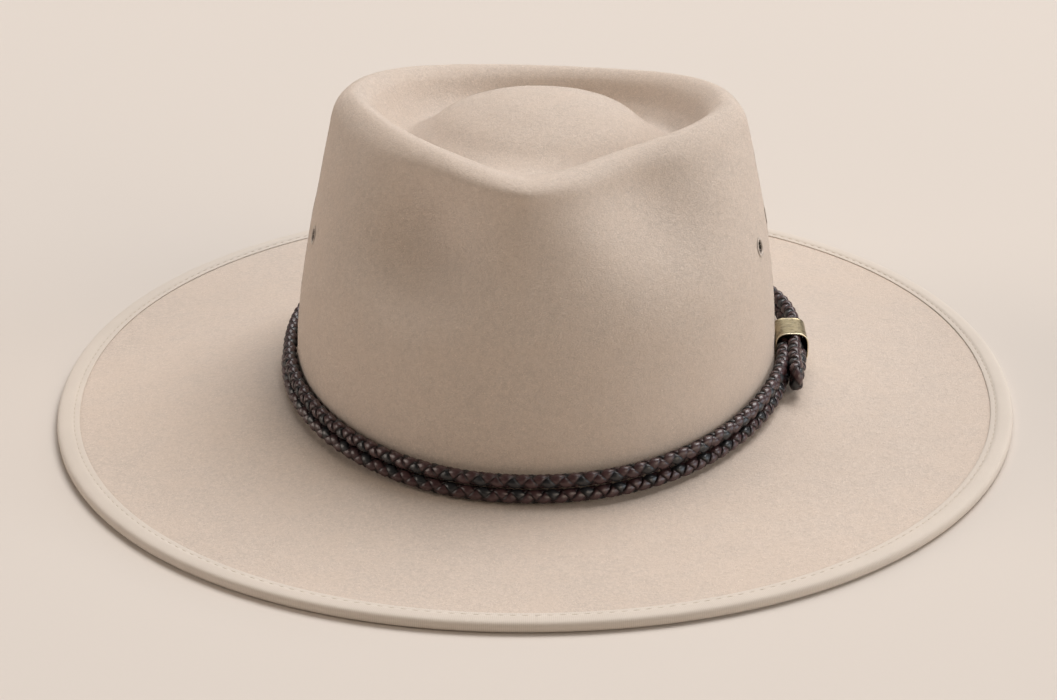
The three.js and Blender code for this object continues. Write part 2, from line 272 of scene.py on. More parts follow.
def felt_points(places, angles):
    """The felt's smooth outer side, with the two pinches pressed in."""
    points = row_points(rows_at(places), angles)
    start, full, end, gone = LEAN_ROWS
    lean = FRONT_LEAN * smooth((places - start) / (full - start))
    lean = (lean * (1 - smooth((places - end) / (gone - end))))[:, None]
    points[..., 0] += lean * np.maximum(np.cos(angles), 0)[None] ** 2
    fade = smooth((CREST + PINCH_FADE - places) / PINCH_FADE)[:, None]
    for angle, height, depth, half_width, half_height in PINCHES:
        sine, cosine = math.sin(math.radians(angle)), math.cos(math.radians(angle))
        x, y, z = points[..., 0], points[..., 1], points[..., 2]
        across = (x * cosine + y * sine) / half_width
        above = (z - height) / half_height
        press = fade * depth * np.exp(-(across**2 + above**2) / 2)
        press = np.where(x * sine - y * cosine > 0, press, 0)
        points = points - press[..., None] * np.array([sine, -cosine, 0])
    return points


def felt_normals(places, angles):
    """Directions straight out of the felt."""
    step = 0.01
    low = np.maximum(places - step, 0)
    high = np.minimum(places + step, len(FELT_ROWS) - 1.001)
    inwards = felt_points(high, angles) - felt_points(low, angles)
    around = felt_points(places, angles + step) - felt_points(places, angles - step)
    return unit(np.cross(around, inwards))


def swell(points):
    """How far the blocked felt stands out or in at each point, from swells of a few sizes."""
    flat = points.reshape(-1, 3)
    height = np.zeros(len(flat))
    for size, rise in SWELLS:
        scaled = (flat / size).tolist()
        height += rise * np.array([noise.noise(point) for point in scaled])
    return height.reshape(points.shape[:-1])


def felt_side(places, angles, depth):
    """One side of the felt wall, depth below its outer side."""
    points = felt_points(places, angles)
    calm = smooth((places - RIBBON_LIP) / CALM_ROWS)[:, None]
    out = swell(points) * calm - depth
    return points + out[..., None] * felt_normals(places, angles)


def on_side(points, degrees, z):
    """Points of a small part, moved from the origin to the side of the crown at a height
    and turned to face out of it."""
    angle = np.array([math.radians(degrees)])
    low, high = float(FOOT), float(FOOT + 5)
    while high - low > 1e-4:
        middle = (low + high) / 2
        if felt_points(np.array([middle]), angle)[0, 0, 2] < z:
            low = middle
        else:
            high = middle
    place = np.array([low])
    seat = Vector(felt_points(place, angle)[0, 0])
    away = Vector(felt_normals(place, angle)[0, 0])
    turned = np.array(away.to_track_quat("Z", "Y").to_matrix())
    return points @ turned.T + np.array(seat)


# Meshes

def grid_faces(rings, sides, closed):
    """Quads between neighbouring rings of one grid; closed also joins the last to the first."""
    ring = np.arange(rings if closed else rings - 1)[:, None]
    side = np.arange(sides)[None]
    here, after = ring * sides + side, ring * sides + (side + 1) % sides
    above = ((ring + 1) % rings) * sides
    quads = np.stack([here, after, above + (side + 1) % sides, above + side], axis=-1)
    return quads.reshape(-1, 4).tolist()


def new_object(name, data):
    made = bpy.data.objects.new(name, data)
    bpy.context.scene.collection.objects.link(made)
    return made


def new_form(name, points, faces, material=None):
    """Smooth object from points in millimetres."""
    mesh = bpy.data.meshes.new(name)
    mesh.from_pydata((np.asarray(points).reshape(-1, 3) * MM).tolist(), [], faces)
    mesh.polygons.foreach_set("use_smooth", [True] * len(mesh.polygons))
    mesh.update()
    if material:
        mesh.materials.append(material)
    return new_object(name, mesh)


def keep(thing, **values):
    """Keeps a number or a vector for each point of an object under each key."""
    for key, each in values.items():
        each = np.asarray(each, np.float32)
        kind, field = ("FLOAT", "value") if each.ndim == 1 else ("FLOAT_VECTOR", "vector")
        made = thing.data.attributes.new(key, kind, "POINT")
        made.data.foreach_set(field, each.ravel())


def point_cloud(name, points, edges=(), **values):
    """Guide for Geometry Nodes: points in millimetres with what is kept for each."""
    mesh = bpy.data.meshes.new(name)
    mesh.from_pydata((points * MM).tolist(), edges, [])
    guide = new_object(name, mesh)
    keep(guide, **values)
    return guide


def work_in(thing):
    """Works an object's modifiers into its mesh."""
    depsgraph = bpy.context.evaluated_depsgraph_get()
    mesh = bpy.data.meshes.new_from_object(
        thing.evaluated_get(depsgraph), preserve_all_data_layers=True, depsgraph=depsgraph
    )
    thing.modifiers.clear()
    if not mesh.polygons:
        raise RuntimeError(f"{thing.name} has no faces")
    thing.data = mesh


def grow(guide, made_tree, values):
    """Runs a tree on a guide once, with its inputs set, and leaves a plain mesh piece."""
    tree, sockets = made_tree
    modifier = guide.modifiers.new(tree.name, "NODES")
    modifier.node_group = tree
    for key, value in values.items():
        modifier[sockets[key]] = value
    work_in(guide)
    return guide


def set_piece(piece):
    """Every piece of the hat rides on its one body."""
    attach(piece, BODY)


# Node trees

class Wire:
    """A value in a node tree. Arithmetic on it adds Math nodes."""

    def __init__(self, graph, socket):
        self.graph = graph
        self.socket = socket

    def math(self, operation, *others):
        values = dict(enumerate((self, *others)))
        return self.graph.add("ShaderNodeMath", {"operation": operation}, values)

    def __add__(self, other):
        return self.math("ADD", other)

    def __sub__(self, other):
        return self.math("SUBTRACT", other)

    def __rsub__(self, other):
        return (self * -1) + other

    def __mul__(self, other):
        return self.math("MULTIPLY", other)

    def __truediv__(self, other):
        return self.math("DIVIDE", other)

    def clamped(self):
        return self.math("MAXIMUM", 0.0).math("MINIMUM", 1.0)

    def __getitem__(self, output):
        """Another output of the node that this value comes from."""
        return Wire(self.graph, self.socket.node.outputs[output])


class Graph:
    """A node tree that is built one node at a time."""

    def __init__(self, tree):
        self.tree = tree

    def add(self, kind, settings=None, inputs=None, output=0):
        """Adds a node of a type, with its settings first and then the values or wires of
        its sockets, and returns one of its outputs."""
        node = self.tree.nodes.new(kind)
        for key, value in (settings or {}).items():
            setattr(node, key, value)
        for key, value in (inputs or {}).items():
            socket = node.inputs[key]
            for item in value if isinstance(value, list) else [value]:
                if isinstance(item, Wire):
                    self.tree.links.new(item.socket, socket)
                else:
                    socket.default_value = item
        return Wire(self, node.outputs[output]) if node.outputs else None

    def vector(self, operation, *values):
        settings = {"operation": operation}
        return self.add("ShaderNodeVectorMath", settings, dict(enumerate(values)))

    def scaled(self, vector, factor):
        settings = {"operation": "SCALE"}
        return self.add("ShaderNodeVectorMath", settings, {"Vector": vector, "Scale": factor})

    def noise(self, place, size, detail, roughness):
        """Noise whose lumps are about size millimetres wide, from 0 to 1."""
        scale = 1 / (size * MM)
        inputs = {"Vector": place, "Scale": scale, "Detail": detail, "Roughness": roughness}
        return self.add("ShaderNodeTexNoise", None, inputs, "Fac")

    def between(self, value, low, high):
        """0 up to low and 1 from high on, smooth in between."""
        settings = {"interpolation_type": "SMOOTHSTEP"}
        inputs = {"Value": value, "From Min": low, "From Max": high}
        return self.add("ShaderNodeMapRange", settings, inputs)

    def blend(self, factor, first, second):
        """Colour between two colours."""
        inputs = {"Factor": factor, 6: first, 7: second}
        return self.add("ShaderNodeMix", {"data_type": "RGBA"}, inputs, 2)

    def attribute(self, name, output="Fac"):
        return self.add("ShaderNodeAttribute", {"attribute_name": name}, output=output)

    def bump(self, height, distance, strength):
        """Normals of a surface whose height goes from 0 to distance millimetres."""
        inputs = {"Height": height, "Distance": distance * MM, "Strength": strength}
        return self.add("ShaderNodeBump", None, inputs)

    def named(self, key, kind="FLOAT"):
        """What the guide keeps for each point under a key."""
        return self.add("GeometryNodeInputNamedAttribute", {"data_type": kind}, {"Name": key})

    def keeping(self, shape, key, value, kind="FLOAT"):
        """A shape with a value kept for each point."""
        settings = {"data_type": kind, "domain": "POINT"}
        inputs = {"Geometry": shape, "Name": key, "Value": value}
        return self.add("GeometryNodeStoreNamedAttribute", settings, inputs)

    def painted(self, shape, material):
        inputs = {"Geometry": shape, "Material": material}
        return self.add("GeometryNodeSetMaterial", None, inputs)

    def random(self, low, high, seed):
        inputs = {2: low, 3: high, "Seed": seed}
        return self.add("FunctionNodeRandomValue", {"data_type": "FLOAT"}, inputs, 1)


def kept_material(name, build, *tones):
    """The material of that name, made the first time that a piece asks for it. Its
    Principled sockets are what build returns for its graph, its place and its tones."""
    if name in bpy.data.materials:
        return bpy.data.materials[name]
    material = bpy.data.materials.new(name)
    material.use_nodes = True
    material.node_tree.nodes.clear()
    graph = Graph(material.node_tree)
    place = graph.add("ShaderNodeTexCoord", output="Object")
    surface = graph.add("ShaderNodeBsdfPrincipled", None, build(graph, place, *tones))
    graph.add("ShaderNodeOutputMaterial", None, {"Surface": surface})
    return material


def new_tree(name, inputs):
    """Geometry Nodes tree with a geometry in and out and the named inputs, whose sockets
    come back by name with their identifiers."""
    tree = bpy.data.node_groups.new(name, "GeometryNodeTree")
    interface = tree.interface
    for side in ("INPUT", "OUTPUT"):
        interface.new_socket(name="Geometry", in_out=side, socket_type="NodeSocketGeometry")
    sockets = {}
    for key, kind in inputs.items():
        made = interface.new_socket(name=key, in_out="INPUT", socket_type=f"NodeSocket{kind}")
        sockets[key] = made.identifier
    graph = Graph(tree)
    return graph, graph.add("NodeGroupInput"), sockets


def close_tree(graph, sockets, shapes):
    """Ends a tree: its shapes joined, their instances realized and shaded smooth. Returns
    the tree with its inputs' sockets."""
    joined = graph.add("GeometryNodeJoinGeometry", None, {"Geometry": shapes})
    real = graph.add("GeometryNodeRealizeInstances", None, {"Geometry": joined})
    soft = graph.add("GeometryNodeSetShadeSmooth", None, {"Geometry": real})
    graph.add("NodeGroupOutput", None, {"Geometry": soft})
    return graph.tree, sockets


# Materials

def tint(colour, factor=1.0):
    return (*(min(1.0, part * factor) for part in colour), 1.0)


def felt_nap(graph, place, colour):
    """Fur felt: short matted nap, slightly mottled, paler where it is brushed up."""
    lying = graph.vector("MULTIPLY", place, (1.0, 1.0, 1.6))
    fibre = graph.noise(lying, 0.7, 4.0, 0.75)
    tuft = graph.noise(place, 1.6, 3.0, 0.6)
    patch = graph.noise(place, 9.0, 3.0, 0.6)
    wash = graph.noise(place, 60.0, 2.0, 0.5)
    shade = fibre * 0.5 + tuft * 0.32 + patch * 0.1 + wash * 0.08
    mask = graph.between(shade, 0.38, 0.62)
    base = graph.blend(mask, tint(colour, 0.89), tint(colour, 1.1))
    warm = graph.between(patch * 0.5 + wash * 0.5, 0.38, 0.62)
    toned = graph.blend(warm * 0.35, base, (colour[0], colour[1] * 0.965, colour[2] * 0.93, 1))
    height = fibre * 0.6 + tuft * 0.4
    return {
        "Base Color": toned,
        "Roughness": (fibre * 0.12 + 0.84).clamped(),
        "Normal": graph.bump(height, 0.42, 0.8),
        "Specular IOR Level": 0.25,
        "Sheen Weight": 0.22,
        "Sheen Roughness": 0.45,
        "Sheen Tint": tint(colour, 1.3),
    }


def felt_fibre(graph, place, colour):
    """Single hairs of the nap, painted paler than the felt to make up for the shade that they
    cast on it, and paler still at some tips.
    """
    hair = graph.noise(place, 0.9, 2.0, 0.6)
    patch = graph.noise(place, 7.0, 2.0, 0.5)
    shade = graph.between(hair * 0.7 + patch * 0.3, 0.36, 0.66)
    return {
        # Painted light: the hairs are 1.12 to 1.4 times as bright as the felt, which makes up for
        # the shade that they cast on it
        "Base Color": graph.blend(shade, tint(colour, 1.12), tint(colour, 1.4)),
        "Roughness": hair * 0.2 + 0.7,
        "Normal": graph.attribute("away", "Vector"),
        "Specular IOR Level": 0.3,
    }


def cream_ribbon(graph, place, colour):
    """Ribbed ribbon: fine ribs straight across it, with a little wear and dust."""
    along = graph.attribute("along")
    rib = (along * (2 * math.pi / 0.62)).math("SINE") * 0.5 + 0.5
    thread = graph.noise(place, 0.35, 3.0, 0.6)
    patch = graph.noise(place, 14.0, 3.0, 0.6)
    shade = (rib * 0.3 + thread * 0.35 + patch * 0.35).clamped()
    base = graph.blend(graph.between(shade, 0.25, 0.75), tint(colour, 0.93), tint(colour, 1.04))
    return {
        "Base Color": base,
        "Roughness": thread * 0.15 + 0.7,
        "Normal": graph.bump(rib * 0.7 + thread * 0.5, 0.07, 0.5),
        "Specular IOR Level": 0.3,
        "Sheen Weight": 0.12,
        "Sheen Roughness": 0.4,
    }


def sewing_thread(graph, place, colour):
    """Twisted sewing thread."""
    twist = graph.noise(graph.vector("MULTIPLY", place, (1.0, 1.0, 2.0)), 0.3, 2.0, 0.6)
    base = graph.blend(graph.between(twist, 0.35, 0.65), tint(colour, 0.86), tint(colour))
    return {
        "Base Color": base,
        "Roughness": twist * 0.2 + 0.55,
        "Normal": graph.bump(twist, 0.06, 0.6),
    }


def leather(graph, place, colour, worn):
    """Glazed leather lace: dark at its cut edges, which carry painted shade where the strands
    meet, rubbed paler along its middle.
    """
    across = graph.attribute("across")
    grain = graph.noise(place, 0.5, 4.0, 0.65)
    patch = graph.noise(place, 5.0, 3.0, 0.6)
    middle = 1.0 - graph.between(across * across, 0.15, 0.95)
    rubbed = (middle * (patch * 0.9 + grain * 0.4 - 0.25)).clamped()
    base = graph.blend(rubbed, tint(colour), tint(worn))
    # Painted shade: the strand's edges, where it meets the next strand, darken to about a third
    # of its colour
    shaded_edges = graph.blend(graph.between(across * across, 0.5, 1.0), base, tint(colour, 0.35))
    return {
        "Base Color": shaded_edges,
        "Roughness": (grain * 0.3 + patch * 0.12 + 0.2).clamped(),
        "Normal": graph.bump(grain * 0.7 + patch * 0.3, 0.09, 0.5),
        "Coat Weight": (middle * 0.35).clamped(),
        "Coat Roughness": 0.22,
        "Specular IOR Level": 0.5,
    }


def antique_brass(graph, place, colour, bright, dark):
    """Antique brass: brushed round the sleeve, toned dark in its pits, bright at its rims, and
    painted near black on its inner wall as shade.
    """
    brushed = graph.noise(graph.vector("MULTIPLY", place, (0.12, 1.0, 0.12)), 0.16, 3.0, 0.7)
    cloud = graph.noise(place, 2.6, 4.0, 0.65)
    pit = graph.noise(place, 0.7, 3.0, 0.6)
    rim = graph.attribute("rim")
    inside = graph.attribute("inside")
    toned = graph.blend(graph.between(cloud, 0.42, 0.66), tint(colour), tint(dark))
    lines = graph.blend(graph.between(brushed, 0.45, 0.7) * 0.55, toned, tint(bright))
    speck = graph.blend(graph.between(pit, 0.62, 0.74) * 0.7, lines, tint(dark))
    worn = graph.blend(graph.between(rim + brushed * 0.3, 0.5, 0.95), speck, tint(bright))
    # Painted shade: the sleeve's inner wall is about a third as bright as the dark patina
    shaded_inside = graph.blend(inside, worn, tint(dark, 0.35))
    rough = brushed * 0.2 + cloud * 0.2 + 0.22 - rim * 0.12
    return {
        "Base Color": shaded_inside,
        "Metallic": 1.0,
        "Roughness": rough.clamped(),
        "Normal": graph.bump(brushed * 0.6 - pit * 0.4, 0.05, 0.5),
    }


def sand_lacquer(graph, place, colour, shade):
    """Sand lacquer over pressed metal, a little dusty, with painted shade in the bore."""
    dust = graph.noise(place, 1.1, 4.0, 0.65)
    chip = graph.noise(place, 0.5, 2.0, 0.5)
    base = graph.blend(graph.between(dust, 0.4, 0.7), tint(colour), tint(colour, 0.78))
    chipped = graph.blend(graph.between(chip, 0.7, 0.76), base, tint(colour, 0.6))
    return {
        # Painted shade: the bore takes the near-black colour below DARK_BELOW
        "Base Color": graph.blend(graph.attribute("bore"), chipped, tint(shade)),
        "Roughness": dust * 0.25 + 0.5,
        "Normal": graph.bump(dust, 0.03, 0.4),
    }


def paper_sweep(graph, place, colour):
    """Matte paper sweep."""
    tooth = graph.noise(place, 2.0, 2.0, 0.5)
    wash = graph.noise(place, 400.0, 2.0, 0.5)
    base = graph.blend(wash * 0.6 + tooth * 0.4, tint(colour, 0.985), tint(colour, 1.01))
    return {"Base Color": base, "Roughness": 0.95, "Specular IOR Level": 0.1}


# Properties

def number(name, description, default, **kind):
    return bpy.props.FloatProperty(
        name=name, description=description, default=default, min=0, **kind
    )


def length(name, description, default):
    """A length given in millimetres, with Blender's own length unit."""
    return number(name, description, default * MM, max=1, subtype="DISTANCE", unit="LENGTH",
                  precision=5)


def colour(name, description, default):
    return bpy.props.FloatVectorProperty(
        name=name, description=description, default=default,
        min=0, max=1, size=3, subtype="COLOR",
    )


class HatSizes(bpy.types.PropertyGroup):
    felt_wall: length("Felt wall", "Thickness of the blocked felt", 2)
    ribbon_wall: length("Ribbon wall", "Thickness of the folded ribbon", RIBBON_WALL)
    stitch_pitch: length("Stitch pitch", "From one stitch of the binding to the next", 4)
    stitch_length: length("Stitch length", "Thread that shows in one stitch", 2.4)
    thread: length("Thread", "Thickness of the sewing thread", 0.34)
    lay: length("Braid lay", "Length in which a strand goes once round the cord", 11.4)
    strand_width: length("Strand width", "Width of one leather strand", 3.5)
    strand_wall: length("Strand thickness", "Thickness of one leather strand", 1.85)
    braid_radius: length("Braid radius", "From the cord's middle to the middle of a strand", 1.18)
    braid_swing: length("Braid swing", "How far a strand moves out and in as it crosses", 0.55)
    keeper_length: length("Keeper length", "Length of the brass sleeve", 15.6)
    keeper_wall: length("Keeper wall", "Thickness of the brass sleeve", 0.7)
    eyelet_bore: length("Eyelet bore", "Radius of the hole in a vent eyelet", 2.5)
    eyelet_flange: length("Eyelet flange", "Radius of a vent eyelet's rim", 3.5)


class HatNap(bpy.types.PropertyGroup):
    density: number("Density", "Hairs on each square metre of the crown", 1.6e6)
    length: length("Hair length", "Length of the longest hairs", 1.2)
    width: length("Hair width", "Width of a hair at its root", 0.15)
    rise: number("Rise", "Steepest angle of a hair to the felt", math.radians(18),
                 subtype="ANGLE")


class HatColours(bpy.types.PropertyGroup):
    felt: colour("Felt", "Pale sand fur felt", (0.62, 0.53, 0.458))
    ribbon: colour("Ribbon", "Cream woven ribbon", (0.635, 0.565, 0.495))
    thread: colour("Thread", "Sewing thread of the binding", (0.6, 0.52, 0.43))
    strand: colour("Strand", "Three strands of the braid", (0.036, 0.0155, 0.018))
    strand_worn: colour("Strand, rubbed", "The same, where they are rubbed", (0.1, 0.05, 0.049))
    dark_strand: colour("Dark strand", "Fourth strand of the braid", (0.009, 0.0095, 0.012))
    dark_worn: colour("Dark strand, rubbed", "The same, where it is rubbed",
                      (0.032, 0.034, 0.038))
    brass: colour("Brass", "Antique brass of the keeper", (0.4, 0.33, 0.2))
    brass_bright: colour("Bright brass", "Brass at the worn rims", (0.78, 0.7, 0.52))
    brass_dark: colour("Dark brass", "Brass with its dark patina", (0.16, 0.125, 0.075))
    eyelet: colour("Eyelet", "Sand lacquer of the eyelets", (0.61, 0.53, 0.46))
    # Painted shade: the near-black colour of the eyelets' bores
    eyelet_bore: colour("Eyelet bore", "Patina inside the eyelets", (0.02, 0.013, 0.01))
    floor: colour("Floor", "Pale paper that the hat stands on", (0.645, 0.59, 0.54))


class HatStage(bpy.types.PropertyGroup):
    light: number("Light", "Factor on the power of every light", 1.0)
    ambient: number("Ambient", "Strength of the pale surroundings", 0.03)


def sizes():
    return bpy.context.scene.hat_sizes


def colours():
    return bpy.context.scene.hat_colours


# Pieces

class HAT_OT_felt_body(bpy.types.Operator):
    """Blocks the crown and brim as one felt wall and cuts the four vents"""

    bl_idname = "hat.felt_body"
    bl_label = "Felt Body"

    def execute(self, context):
        places = np.concatenate([
            np.linspace(k, k + 1, count, endpoint=False)
            for k, count in enumerate(RINGS_BETWEEN)
        ])
        under_places = places[::2]
        angles = (np.arange(FELT_SIDES) + 0.5) * 2 * math.pi / FELT_SIDES
        wall = sizes().felt_wall / MM
        top = felt_side(places, angles, 0)
        under = felt_side(under_places, angles, wall)[::-1]
        middle = np.array([FELT_ROWS[-1][SHIFT], 0, FELT_ROWS[-1][Z_SIDE]])
        points = np.concatenate([under.reshape(-1, 3), top.reshape(-1, 3),
                                 [middle - [0, 0, wall], middle]])
        rings = len(places) + len(under_places)
        faces = grid_faces(rings, FELT_SIDES, False)
        inner_pole, outer_pole = rings * FELT_SIDES, rings * FELT_SIDES + 1
        last = (rings - 1) * FELT_SIDES
        for k in range(FELT_SIDES):
            after = (k + 1) % FELT_SIDES
            faces.append([inner_pole, after, k])
            faces.append([outer_pole, last + k, last + after])
        material = kept_material("felt_nap", felt_nap, colours().felt)
        felt = new_form("felt_shell", points, faces, material)
        self.cut_vents(felt)
        set_piece(felt)
        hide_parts("felt_body")
        return {"FINISHED"}

    def cut_vents(self, felt):
        """Four round holes through the crown, under the eyelets' flanges."""
        radius, sides = sizes().eyelet_flange / MM - VENT_INSET, 32
        turns = circle(sides)
        ring = np.stack([np.cos(turns), np.sin(turns), np.zeros(sides)], axis=-1) * radius
        points, faces = [], []
        for degrees, z in EYELETS.values():
            first = len(points) * sides
            for along in (-VENT_REACH, VENT_REACH):
                points.append(on_side(ring + [0, 0, along], degrees, z))
            faces.extend([a + first for a in quad] for quad in grid_faces(2, sides, False))
            faces.append([first + k for k in reversed(range(sides))])
            faces.append([first + sides + k for k in range(sides)])
        cutter = new_form("vent_cutter", np.concatenate(points), faces)
        cut = felt.modifiers.new("vents", "BOOLEAN")
        cut.operation = "DIFFERENCE"
        cut.solver = "EXACT"
        cut.object = cutter
        work_in(felt)
        bpy.data.objects.remove(cutter)


def fibre_tree():
    """Short pointed hairs over a surface, each lying its own way and lifted a little."""
    graph, source, sockets = new_tree("felt_fibres", {
        "Density": "Float", "Length": "Float", "Width": "Float", "Rise": "Float",
        "Seed": "Int", "Material": "Material",
    })
    cover = graph.named("cover")
    spread = graph.add("GeometryNodeDistributePointsOnFaces", {"distribute_method": "RANDOM"}, {
        "Mesh": source, "Density": cover * source["Density"], "Seed": source["Seed"],
    })
    rooted_at = graph.keeping(spread, "away", spread["Normal"], "FLOAT_VECTOR")
    blade = graph.add("GeometryNodeMeshCircle", {"fill_type": "NGON"},
                      {"Vertices": 3, "Radius": 1.0})
    rooted = graph.add("GeometryNodeTransform", None, {
        "Geometry": blade, "Translation": (1 / 3, 0.0, 0.0), "Scale": (2 / 3, 0.577, 1.0),
    })
    low = graph.add("ShaderNodeCombineXYZ", None, {"Y": source["Rise"] * -1})
    lift = graph.add("FunctionNodeRandomValue", {"data_type": "FLOAT_VECTOR"}, {
        "Min": low, "Max": (0.0, -FLATTEST_HAIR, 2 * math.pi), "Seed": source["Seed"],
    })
    tilt = graph.add("FunctionNodeEulerToRotation", None, {"Euler": lift})
    laid = graph.add("FunctionNodeRotateRotation", {"rotation_space": "LOCAL"}, {
        "Rotation": spread["Rotation"], "Rotate By": tilt,
    })
    vary = graph.random(SHORTEST_HAIR, 1.0, source["Seed"] + 1)
    size = graph.add("ShaderNodeCombineXYZ", None, {
        "X": source["Length"] * vary, "Y": source["Width"], "Z": 1.0,
    })
    placed = graph.add("GeometryNodeInstanceOnPoints", None, {
        "Points": rooted_at, "Instance": rooted, "Rotation": laid, "Scale": size,
    })
    real = graph.add("GeometryNodeRealizeInstances", None, {"Geometry": placed})
    return close_tree(graph, sockets, [graph.painted(real, source["Material"])])


class HAT_OT_felt_fibres(bpy.types.Operator):
    """Brushes up short hairs over the outer side of the felt, thickest on the crown"""

    bl_idname = "hat.felt_fibres"
    bl_label = "Felt Fibres"

    def execute(self, context):
        places = np.linspace(RIBBON_LIP + 0.04, len(FELT_ROWS) - 1.1, NAP_RINGS)
        points = felt_side(places, circle(NAP_SIDES), NAP_DEPTH)
        guide = new_form("felt_fibres", points, grid_faces(NAP_RINGS, NAP_SIDES, False))
        cover = BRIM_COVER + (1 - BRIM_COVER) * smooth(places - FOOT + 1)
        keep(guide, cover=np.repeat(cover, NAP_SIDES))
        nap = context.scene.hat_nap
        material = kept_material("felt_fibre", felt_fibre, colours().felt)
        fibres = grow(guide, fibre_tree(), {
            "Density": nap.density, "Length": nap.length, "Width": nap.width,
            "Rise": nap.rise, "Seed": NAP_SEED, "Material": material,
        })
        set_piece(fibres)
        return {"FINISHED"}


def binding_angles():
    """Angles at even steps along the brim's edge, the same number of them for each stitch,
    and how far along the edge each lies."""
    fine = np.linspace(0, 2 * math.pi, 4001)
    edge = felt_points(np.array([0.0]), fine)[0]
    run = np.concatenate([[0], np.cumsum(np.linalg.norm(np.diff(edge, axis=0), axis=1))])
    stitches = round(run[-1] / (sizes().stitch_pitch / MM))
    steps = stitches * RIBBON_STEPS_PER_STITCH
    along = np.arange(steps) * run[-1] / steps
    return np.interp(along, run, fine), along


def ribbon_rings(angles, pucker):
    """Closed section of the folded ribbon, ring by ring: up its inner lip, over the top to
    the edge, round it, back under the brim, up the lower lip and along the felt."""
    wall = sizes().ribbon_wall / MM
    outside = SEAT_GAP + wall
    edge = felt_points(np.array([0.0]), angles)[0]
    lip = felt_points(np.array([RIBBON_LIP]), angles)[0]
    width = float(np.mean(np.linalg.norm(edge - lip, axis=1)))
    ahead = np.roll(edge, -1, axis=0) - np.roll(edge, 1, axis=0)
    away = unit(np.stack([ahead[:, 1], -ahead[:, 0], np.zeros(len(angles))], axis=-1))
    edge_top = FELT_ROWS[0][Z_SIDE]

    def ribbon_top(inset):
        """Height of the ribbon over the felt: pressed flat at the lip, full at the edge."""
        return outside - (outside - LIP_HEIGHT) * (1 - float(smooth((width - inset) / LIP_SLOPE)))

    def on_top(inset, out):
        place = np.array([RIBBON_LIP * inset / width])
        normal = felt_normals(place, angles)[0]
        height = np.broadcast_to(out, len(angles))[:, None]
        return felt_points(place, angles)[0] + normal * height

    def below(inset, z):
        points = felt_points(np.array([RIBBON_LIP * inset / width]), angles)[0]
        points[:, 2] = z
        return points

    def at_edge(out, z):
        points = edge + away * out
        points[:, 2] = z
        return points

    rings = [on_top(width, LIP_GAP)]
    for turn in (0.1, 0.5, 0.9):
        bend = turn * math.pi / 2
        rings.append(on_top(width + 0.15 * math.cos(bend),
                            LIP_GAP + (LIP_HEIGHT - LIP_GAP) * math.sin(bend)))
    for inset in (width - 0.5, *np.linspace(width - 1.0, width - 2.6, 7),
                  *np.linspace(width - 3.2, 1.4, 6)):
        groove = math.exp(-(((width - inset) - STITCH_INSET) / GROOVE_WIDTH) ** 2)
        crown = RIBBON_CROWN * math.sin(math.pi * min(1, inset / (width - STITCH_INSET)))
        rings.append(on_top(inset, ribbon_top(inset) + crown - groove * pucker))
    half_height = (edge_top + outside + 0.1) / 2
    for bend in np.linspace(72, -72, 9):
        turn = math.radians(bend)
        out = -EDGE_START + (outside + EDGE_START) * math.cos(turn) ** EDGE_ROUND
        rise = half_height * signed_power(math.sin(turn), EDGE_ROUND)
        rings.append(at_edge(out, half_height + float(rise)))
    for inset in (EDGE_START, width / 2, width - STITCH_INSET, width - 0.4):
        rings.append(below(inset, 0.0))
    rings += [
        below(width + 0.1, wall / 2), below(width, wall), below(1.0, wall), at_edge(0, wall),
        at_edge(SEAT_GAP, wall + SEAT_GAP), at_edge(SEAT_GAP, edge_top), on_top(1.0, SEAT_GAP),
    ]
    return rings, on_top, below, ribbon_top, width


class HAT_OT_brim_binding(bpy.types.Operator):
    """Folds the ribbon over the edge of the brim, drawn in a little at every stitch"""

    bl_idname = "hat.brim_binding"
    bl_label = "Brim Binding"

    def execute(self, context):
        angles, along = binding_angles()
        phase = np.arange(len(angles)) / RIBBON_STEPS_PER_STITCH * 2 * math.pi
        pucker = PUCKER + PUCKER_SWING * np.cos(phase)
        rings = ribbon_rings(angles, pucker)[0]
        faces = [face[::-1] for face in grid_faces(len(rings), len(angles), True)]
        material = kept_material("cream_ribbon", cream_ribbon, colours().ribbon)
        ribbon = new_form("ribbon_binding", rings, faces, material)
        keep(ribbon, along=np.tile(along, len(rings)))
        set_piece(ribbon)
        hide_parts("brim_binding")
        return {"FINISHED"}


def stitch_tree():
    """One stitch on every point of the guide, along its run and lying on its surface."""
    graph, source, sockets = new_tree("binding_stitches", {
        "Stitch Length": "Float", "Thread": "Float", "Slack": "Float", "Seed": "Int",
        "Material": "Material",
    })
    thread = source["Thread"]
    bead = graph.add("GeometryNodeMeshIcoSphere", None, {"Radius": 0.5, "Subdivisions": 2})
    run = graph.named("run", "FLOAT_VECTOR")
    away = graph.named("away", "FLOAT_VECTOR")
    laid = graph.add("FunctionNodeAlignRotationToVector", {"axis": "X"}, {"Vector": run})
    upright = graph.add("FunctionNodeAlignRotationToVector", {"axis": "Z", "pivot_axis": "X"},
                        {"Rotation": laid, "Vector": away})
    vary = graph.random(1.0 - source["Slack"], 1.0, source["Seed"])
    size = graph.add("ShaderNodeCombineXYZ", None, {
        "X": source["Stitch Length"] * vary, "Y": thread * 1.15, "Z": thread * vary,
    })
    placed = graph.add("GeometryNodeInstanceOnPoints", None, {
        "Points": source, "Instance": bead, "Rotation": upright, "Scale": size,
    })
    real = graph.add("GeometryNodeRealizeInstances", None, {"Geometry": placed})
    return close_tree(graph, sockets, [graph.painted(real, source["Material"])])


